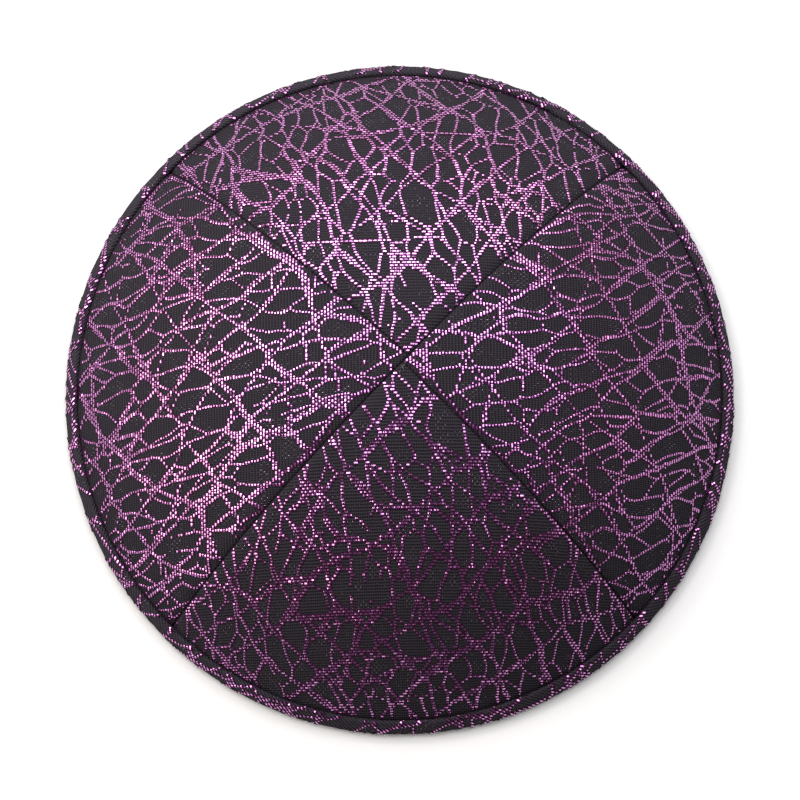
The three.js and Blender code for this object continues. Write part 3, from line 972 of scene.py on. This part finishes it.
def cloth_material(name, cap, painted_light=1.0):
    """Charcoal cloth: ribs across the grain, crossed by fine lengthwise ends, with glints of hidden metal.

    Its ground and ribs are lighter by the factor, which is painted light; its glints aren't.
    """
    material, nodes = new_material(name)
    weave, colours = cap.weave, cap.colours
    grain = nodes.grain()
    u, v = nodes.first_two(grain)
    wander = nodes.speckle(grain, 0.4, 3.0)
    fine = nodes.speckle(grain, 2.6, 2.0)
    place = v / (weave.rib / MM)
    rows = place + (wander - 0.5) * RIB_WANDER
    ends = u / (weave.end / MM) + (wander - 0.5) * END_WANDER
    main, over = rows.wave(), ends.wave()
    under = (ends + 0.5).wave() * (rows + 0.5).wave()
    # Darker between the ribs and ends and lighter on their crests: painted shade of the weave's hollows, over
    # the bump's own shading; the fine noise adds the cloth's uneven tone
    crest = (main ** CREST["power"]) * (over * (1 - CREST["kept"]) + CREST["kept"]) + under * 0.15
    shade_and_tone = crest * (0.35 + fine * 1.3)
    # Painted light: the factor lightens the ground and ribs, as if they were more brightly lit
    ground, rib = ([part * painted_light for part in rgb] for rgb in (colours.ground, colours.rib))
    base = nodes.mix(shade_and_tone, rgba(ground), rgba(rib))
    row = place.math("FLOOR")
    dash = u / (weave.dash / MM) + row * 0.5
    away = dash.wave().between(0.965, 0.995) * (place + 0.5).wave().between(0.93, 0.985)
    cell = nodes.add("ShaderNodeCombineXYZ", {0: dash.math("ROUND"), 1: row}).outputs[0]
    chance = nodes.value("ShaderNodeTexWhiteNoise", {"Vector": cell}, noise_dimensions="2D")
    patchy = nodes.speckle(grain, 0.16, 1.0)
    glint = away * (chance * 0.3 + patchy).between(0.68, 0.95)
    base = nodes.mix(glint, base, rgba(colours.glint))
    height = main * 0.6 + over * 0.4 + (fine - 0.5) * 0.3
    bump = nodes.add("ShaderNodeBump", {"Height": height, "Strength": 1.0, "Distance": CLOTH_BUMP}).outputs[0]
    rough = CLOTH_ROUGHNESS
    surface = nodes.add("ShaderNodeBsdfPrincipled", {
        "Base Color": base,
        "Roughness": rough["ground"] - crest * rough["crest"] - glint * rough["glint"],
        "Metallic": glint * 0.9,
        "Normal": bump,
    })
    finish_material(nodes, surface, Specular_IOR_Level=0.02)
    return material


def inside_material(name, cap):
    """Plain dark reverse of the cloth."""
    material, nodes = new_material(name)
    grain = nodes.grain()
    u, v = nodes.first_two(grain)
    fine = nodes.speckle(grain, 2.2, 3.0)
    slant = ((u + v) / 0.55 + (fine - 0.5) * 0.5).wave()
    cloud = nodes.speckle(grain, 0.12, 3.0)
    dark, light = (rgba([part * factor for part in cap.colours.inside]) for factor in (0.6, 1.7))
    base = nodes.mix(slant * 0.6 + cloud * 0.4, dark, light)
    bump = nodes.add("ShaderNodeBump", {"Height": slant + fine * 0.5, "Strength": 0.6, "Distance": 0.05 * MM})
    surface = nodes.add("ShaderNodeBsdfPrincipled", {
        "Base Color": base, "Roughness": 0.85 - slant * 0.1, "Normal": bump.outputs[0]})
    finish_material(nodes, surface, Sheen_Weight=0.2, Sheen_Roughness=0.5)
    return material


# Where the pink film turns to violet, by its distance from the cap's axis as a share of the rim's width:
# whole around the top, and by a share towards the rim. Patches and each dash's tint make the change uneven.
TOP_VIOLET = {"within": 0.28, "patch": 0.16, "tint": 0.06, "from": 0.02, "whole": 0.24}
RIM_VIOLET = {"patch": 0.1, "from": 0.34, "whole": 0.52, "share": 0.65}


def film_material(name, cap):
    """Lacquered metal film, pink, and violet around the top and towards the rim."""
    material, nodes = new_material(name)
    place = nodes.add("ShaderNodeTexCoord").outputs["Object"]
    tint = nodes.value("ShaderNodeAttribute", output=2, attribute_name="tint")
    x, y = nodes.first_two(place)
    from_axis = (x * x + y * y) ** 0.5
    patch = nodes.speckle(place, 55.0, 1.0)
    out = from_axis / cap.crown.rim_width
    top, rim = TOP_VIOLET, RIM_VIOLET
    near = top["within"] - out + patch * top["patch"] + tint * top["tint"]
    to_violet = near.between(top["from"], top["whole"])
    to_violet = to_violet + (out + patch * rim["patch"]).between(rim["from"], rim["whole"]) * rim["share"]
    base = nodes.mix(to_violet, rgba(cap.colours.pink), rgba(cap.colours.violet))
    surface = nodes.add("ShaderNodeBsdfPrincipled", {
        "Base Color": base, "Roughness": 0.15 + tint * 0.10})
    finish_material(nodes, surface, Metallic=0.95, Coat_Weight=1.0, Coat_Roughness=0.16, Coat_IOR=1.85)
    return material


def yarn_and_shade_material(name, cap):
    """Dark purple yarn that carries the metal film."""
    material, nodes = new_material(name)
    tint = nodes.value("ShaderNodeAttribute", output=2, attribute_name="tint")
    place = nodes.add("ShaderNodeTexCoord").outputs["Object"]
    # Its dark purple is partly the yarn's own colour and partly painted shade in the gaps beside and between
    # the film
    base = nodes.mix(nodes.speckle(place, 2500.0) * 0.6 + tint * 0.4,
                     rgba([part * 0.5 for part in cap.colours.yarn]), rgba(cap.colours.yarn))
    surface = nodes.add("ShaderNodeBsdfPrincipled", {"Base Color": base, "Roughness": 0.6 - tint * 0.1})
    finish_material(nodes, surface, Specular_IOR_Level=0.08)
    return material


def plain_material(name, rgb, roughness):
    material, nodes = new_material(name)
    place = nodes.add("ShaderNodeTexCoord").outputs["Object"]
    speck = nodes.speckle(place, 900.0, 2.0)
    base = nodes.mix(speck, rgba([part * 0.97 for part in rgb]), rgba([min(part * 1.03, 1) for part in rgb]))
    surface = nodes.add("ShaderNodeBsdfPrincipled", {"Base Color": base, "Roughness": roughness})
    finish_material(nodes, surface)
    return material


# Geometry Nodes that lay the metal thread

# Stations along a dash and points across it, as shares of its length, width and height
DASH_STATIONS = [
    {"at": -0.53, "wide": 0.85, "high": 0.35},
    {"at": -0.42, "wide": 0.95, "high": 0.6},
    {"at": -0.16, "wide": 1.0, "high": 1.0},
    {"at": 0.16, "wide": 1.0, "high": 1.0},
    {"at": 0.42, "wide": 0.95, "high": 0.6},
    {"at": 0.53, "wide": 0.85, "high": 0.35},
]
# The outer points make the yarn's wings beside the film; their dark colour is partly painted shade
DASH_ACROSS = [
    {"side": -1.7, "drop": 0.3},
    {"side": -0.52, "drop": 0.0},
    {"side": 0.52, "drop": 0.0},
    {"side": 1.7, "drop": 0.3},
]


def dash_shape(name):
    """One dash, 1 long and 1 high, whose ends dive: a film 1 wide on the wider dark yarn that carries it."""
    points = [
        (station["at"], across["side"] * station["wide"], station["high"] - across["drop"])
        for station in DASH_STATIONS for across in DASH_ACROSS
    ]
    numbers = np.arange(len(points)).reshape(len(DASH_STATIONS), len(DASH_ACROSS))
    made = mesh_object(name, np.array(points, float), grid_faces(numbers))
    if made.data.polygons[7].normal.z < 0:
        made.data.flip_normals()
    film = made.data.attributes.new("film", "BOOLEAN", "FACE")
    number = np.arange(len(made.data.polygons))
    film.data.foreach_set("value", (number % 3 == 1) & (number > 2) & (number < len(number) - 3))
    return made


def thread_tree(name):
    """Instances a dash on each point, turned to lie along the thread and to face out of the cloth."""
    tree = bpy.data.node_groups.new(name, "GeometryNodeTree")
    for label, kind, way in (
        ("Geometry", "NodeSocketGeometry", "INPUT"),
        ("Dash", "NodeSocketObject", "INPUT"),
        ("Thread width", "NodeSocketFloat", "INPUT"),
        ("Thread height", "NodeSocketFloat", "INPUT"),
        ("Film", "NodeSocketMaterial", "INPUT"),
        ("Yarn", "NodeSocketMaterial", "INPUT"),
        ("Geometry", "NodeSocketGeometry", "OUTPUT"),
    ):
        tree.interface.new_socket(name=label, in_out=way, socket_type=kind)
    nodes = Nodes(tree)
    given = nodes.add("NodeGroupInput").outputs

    def named(label, kind):
        return nodes.add("GeometryNodeInputNamedAttribute", {"Name": label}, data_type=kind).outputs[0]

    turn = nodes.add("FunctionNodeAxesToRotation",
                     {0: named("facing", "FLOAT_VECTOR"), 1: named("along", "FLOAT_VECTOR")},
                     primary_axis="Z", secondary_axis="X")
    girth = Value(nodes, named("girth", "FLOAT"))
    size = nodes.add("ShaderNodeCombineXYZ", {
        0: named("long", "FLOAT"),
        1: Value(nodes, given["Thread width"]) * girth,
        2: given["Thread height"],
    })
    shape = nodes.add("GeometryNodeObjectInfo", {"Object": given["Dash"]})
    laid = nodes.add("GeometryNodeInstanceOnPoints", {
        "Points": given["Geometry"],
        "Instance": shape.outputs["Geometry"],
        "Rotation": turn.outputs[0],
        "Scale": size.outputs[0],
    })
    real = nodes.add("GeometryNodeRealizeInstances", {"Geometry": laid.outputs[0]})
    creased = nodes.add("GeometryNodeSetShadeSmooth", {"Geometry": real.outputs[0], "Shade Smooth": False})
    yarn = nodes.add("GeometryNodeSetMaterial", {"Geometry": creased.outputs[0], "Material": given["Yarn"]})
    dressed = nodes.add("GeometryNodeSetMaterial", {
        "Geometry": yarn.outputs[0], "Selection": named("film", "BOOLEAN"), "Material": given["Film"]})
    nodes.add("NodeGroupOutput", {0: dressed.outputs[0]})
    return tree


def run_nodes(name, points, attributes, tree, inputs):
    """Runs a geometry tree on points with attributes and keeps the result as a plain mesh."""
    base = bpy.data.meshes.new(name + "_points")
    base.from_pydata(points.tolist(), [], [])
    for label, values in attributes.items():
        vector = values.ndim == 2
        layer = base.attributes.new(label, "FLOAT_VECTOR" if vector else "FLOAT", "POINT")
        layer.data.foreach_set("vector" if vector else "value", values.astype(np.float32).reshape(-1))
    holder = bpy.data.objects.new(name + "_points", base)
    bpy.context.scene.collection.objects.link(holder)
    modifier = holder.modifiers.new("Nodes", "NODES")
    modifier.node_group = tree
    for item in tree.interface.items_tree:
        if item.item_type == "SOCKET" and item.in_out == "INPUT" and item.name in inputs:
            modifier[item.identifier] = inputs[item.name]
    holder.update_tag()
    depsgraph = bpy.context.evaluated_depsgraph_get()
    mesh = bpy.data.meshes.new_from_object(
        holder.evaluated_get(depsgraph), preserve_all_data_layers=True, depsgraph=depsgraph)
    mesh.name = name
    made = bpy.data.objects.new(name, mesh)
    bpy.context.scene.collection.objects.link(made)
    bpy.data.objects.remove(holder)
    bpy.data.meshes.remove(base)
    if not len(mesh.polygons):
        raise RuntimeError(f"{name} came out empty")
    return made


# How much the dashes differ: the spread of their lean, and the limits of their length and girth
DASH_LEAN = 0.10
DASH_LENGTHS = (0.94, 1.05)
DASH_GIRTHS = (0.86, 1.1)


def lay_threads(name, laid, cap, dash, tree, seed):
    """The metal thread of one piece of cloth as one plain mesh."""
    middle, along, facing, long = laid
    draw = np.random.default_rng(seed)
    facing, along = unit(facing), unit(along)
    side = np.cross(facing, along)
    lean = draw.normal(0, DASH_LEAN, (2, len(long), 1))
    facing = facing + side * lean[0] + along * lean[1]
    attributes = {
        "facing": facing, "along": along, "long": long * draw.uniform(*DASH_LENGTHS, len(long)),
        "girth": draw.uniform(*DASH_GIRTHS, len(long)), "tint": draw.uniform(0, 1, len(long)),
    }
    return run_nodes(name, middle, attributes, tree, {
        "Dash": dash, "Thread width": cap.weave.thread, "Thread height": cap.weave.raise_by,
        "Film": shared_material("thread_film", film_material, cap),
        "Yarn": shared_material("thread_yarn_and_shade", yarn_and_shade_material, cap),
    })


# Loose thread ends beside the long seam: ends in millimetres from the rim's centre, and how far they bow
LOOSE_ENDS = [
    {"from": (1.31, -0.64), "to": (0.22, -2.58), "bow": 0.35},
    {"from": (0.15, -2.9), "to": (0.1, -4.1), "bow": -0.15},
    {"from": (0.3, -1.9), "to": (0.9, -3.3), "bow": 0.2},
    {"from": (6.62, 6.0), "to": (6.38, 5.3), "bow": 0.1},
]
LOOSE_RISE = 0.3 * MM


def loose_ends(name, crown, material, radius=0.045 * MM, steps=10, sides=4):
    """Thin square threads that rise from the cloth and fall back on it."""
    points, faces = [], []
    part = np.linspace(0, 1, steps)[:, None]
    arch = np.sin(math.pi * part)
    for end in LOOSE_ENDS:
        start, stop = (np.array(end[key]) * MM for key in ("from", "to"))
        along = (stop - start) / np.linalg.norm(stop - start)
        flat = start + (stop - start) * part + np.array([-along[1], along[0]]) * arch * end["bow"] * MM
        height = crown.height(flat[:, 0], flat[:, 1]) + LOOSE_RISE * arch[:, 0]
        path = np.concatenate([flat, height[:, None]], 1)
        ahead = np.gradient(path, axis=0)
        side = unit(np.cross(ahead, [0, 0, 1]))
        up = unit(np.cross(side, ahead))
        numbers = len(faces) // (sides * (steps - 1) + 2) * sides * steps
        numbers = numbers + np.arange(sides * steps).reshape(sides, steps)
        for turn in np.arange(sides) / sides * TURN:
            points.append(path + (side * math.cos(turn) + up * math.sin(turn)) * radius * (0.6 + 0.4 * arch))
        faces += [*grid_faces(np.concatenate([numbers, numbers[:1]])), numbers[::-1, 0], numbers[:, -1]]
    return mesh_object(name, np.concatenate(points), np.array(faces), materials=[material])


# Operators


def cut_out(piece, node):
    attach(piece, "root")
    if node:
        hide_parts(node)


def shared_material(name, maker, *values):
    return bpy.data.materials.get(name) or maker(name, *values)


class CAP_OT_panels(bpy.types.Operator):
    """Sews the four gores of brocade with their metal threads"""

    bl_idname = "cap.panels"
    bl_label = "Panels"

    def execute(self, context):
        cap = context.scene.cap
        crown = Crown(cap)
        cloth = shared_material("panel_cloth", cloth_material, cap)
        inside = shared_material("panel_reverse", inside_material, cap)
        dash = dash_shape("dash")
        tree = thread_tree("Metal thread")
        for number, node in enumerate(GORES):
            gore = Gore(crown, node, number)
            name = node.replace("panel", "gore")
            panel = panel_object(name, gore, [cloth, inside])
            cut_out(panel, node)
            threads = lay_threads(name + "_threads", panel_dashes(gore, cap.weave), cap, dash, tree, number)
            cut_out(threads, None)
            extras = [threads]
            if node == "panel_front":
                extras.append(loose_ends("loose_ends", crown, shared_material(
                    "loose_thread", plain_material, cap.colours.loose, 0.7)))
                cut_out(extras[-1], None)
        bpy.data.objects.remove(dash)
        return {"FINISHED"}


class CAP_OT_binding(bpy.types.Operator):
    """Folds the bias binding over the rim, with its metal threads"""

    bl_idname = "cap.binding"
    bl_label = "Binding"

    def execute(self, context):
        cap = context.scene.cap
        fold = Fold(Crown(cap))
        # The binding's cloth is the panels' cloth made lighter by painted light
        cloth = shared_material("binding_cloth_painted_light", cloth_material, cap, BINDING_PAINTED_LIGHT)
        dash = dash_shape("dash")
        binding = binding_object("binding", fold, BINDING_STATIONS, [cloth])
        cut_out(binding, "rim_binding")
        threads = lay_threads("binding_threads", binding_dashes(fold, cap.weave), cap, dash,
                              thread_tree("Binding thread"), BINDING_SEED)
        cut_out(threads, None)
        bpy.data.objects.remove(dash)
        return {"FINISHED"}


# Soft boxes of the studio: place and size in metres, radiance, and colour
LIGHTS = {
    "key_back": {"at": (-0.15, 1.65, 1.37), "size": (3.2, 0.9), "radiance": 5.6, "tint": (1.0, 0.98, 0.98)},
    "key_left": {"at": (-1.42, 0.76, 1.53), "size": (1.6, 0.85), "radiance": 8.3, "tint": (1.0, 0.97, 0.94)},
    "key_right": {"at": (1.27, 0.94, 1.54), "size": (1.4, 0.8), "radiance": 3.8, "tint": (1.0, 0.98, 0.98)},
    "top": {"at": (0.1, 0.32, 2.1), "size": (1.9, 1.15), "radiance": 3.9, "tint": (0.98, 0.98, 1.0)},
    "left": {"at": (-2.5, -0.05, 1.15), "size": (2.4, 1.5), "radiance": 4.2, "tint": (1.0, 0.93, 0.85)},
    "left_front": {"at": (-1.75, -1.3, 1.5), "size": (1.0, 0.9), "radiance": 5.0, "tint": (1.0, 0.93, 0.87)},
    "right_front": {"at": (1.3, -1.1, 1.9), "size": (0.6, 0.5), "radiance": 4.0, "tint": (0.98, 0.96, 1.0)},
    "right": {"at": (2.6, 0.3, 0.9), "size": (1.8, 1.4), "radiance": 1.6, "tint": (0.94, 0.95, 1.0)},
    "back": {"at": (0.1, 2.6, 0.9), "size": (3.6, 1.3), "radiance": 2.3, "tint": (0.95, 0.96, 1.0)},
}
# Half of the floor's width, in metres
FLOOR_HALF = 5.0


class CAP_OT_stage(bpy.types.Operator):
    """Sets the floor, the studio light and the camera"""

    bl_idname = "cap.stage"
    bl_label = "Stage"

    def execute(self, context):
        scene, stage = context.scene, context.scene.cap.stage
        corners = np.array([(-1, -1, 0), (1, -1, 0), (1, 1, 0), (-1, 1, 0)], float) * FLOOR_HALF
        floor = mesh_object("floor", corners, np.array([[0, 1, 2, 3]]),
                            materials=[plain_material("floor", scene.cap.colours.floor, 0.9)])
        if floor.data.polygons[0].normal.z < 0:
            floor.data.flip_normals()
        for name, light in LIGHTS.items():
            lamp = bpy.data.lights.new(name, "AREA")
            lamp.shape = "RECTANGLE"
            lamp.size, lamp.size_y = light["size"]
            lamp.energy = light["radiance"] * math.pi * lamp.size * lamp.size_y
            lamp.color = light["tint"]
            made = bpy.data.objects.new(name, lamp)
            made.location = light["at"]
            made.rotation_euler = (-Vector(light["at"])).to_track_quat("-Z", "Y").to_euler()
            scene.collection.objects.link(made)
        world = bpy.data.worlds.new("studio")
        world.use_nodes = True
        background = world.node_tree.nodes["Background"].inputs
        background["Color"].default_value = (1, 1, 1, 1)
        background["Strength"].default_value = stage.ambient
        scene.world = world
        scene.view_settings.view_transform = "Standard"
        camera = bpy.data.cameras.new("camera")
        camera.sensor_width = 36
        camera.lens = camera.sensor_width * stage.distance / stage.across
        camera.clip_end = 20
        made = bpy.data.objects.new("camera", camera)
        aim = Vector((stage.aim_right, -stage.aim_front, stage.aim_up))
        back = Vector((0, -math.cos(stage.elevation), math.sin(stage.elevation)))
        made.location = aim + back * stage.distance
        made.rotation_euler = (-back).to_track_quat("-Z", "Y").to_euler()
        scene.collection.objects.link(made)
        scene.camera = made
        return {"FINISHED"}


class CAP_PT_panel(bpy.types.Panel):
    """Sizes and colours of the skullcap"""

    bl_label = "Skullcap"
    bl_idname = "CAP_PT_panel"
    bl_space_type = "VIEW_3D"
    bl_region_type = "UI"
    bl_category = "Skullcap"

    def draw(self, context):
        cap = context.scene.cap
        for title, group in (("Crown", cap.crown), ("Binding", cap.binding), ("Weave", cap.weave),
                             ("Colours", cap.colours), ("Stage", cap.stage)):
            box = self.layout.box()
            box.label(text=title)
            for name in group.bl_rna.properties.keys():
                if name not in {"rna_type", "name"}:
                    box.prop(group, name)
        for operator in STEPS:
            self.layout.operator(operator.bl_idname)


STEPS = (CAP_OT_panels, CAP_OT_binding, CAP_OT_stage)
GROUPS = (CapCrown, CapBinding, CapWeave, CapColours, CapStage, CapSettings)


def register():
    for kind in (*GROUPS, *STEPS, CAP_PT_panel):
        bpy.utils.register_class(kind)
    bpy.types.Scene.cap = PointerProperty(type=CapSettings)


def unregister():
    del bpy.types.Scene.cap
    for kind in reversed((*GROUPS, *STEPS, CAP_PT_panel)):
        bpy.utils.unregister_class(kind)


def main():
    register()
    bpy.ops.cap.panels()
    bpy.ops.cap.binding()
    bpy.ops.cap.stage()
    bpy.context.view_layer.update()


if __name__ == "__main__":
    main()
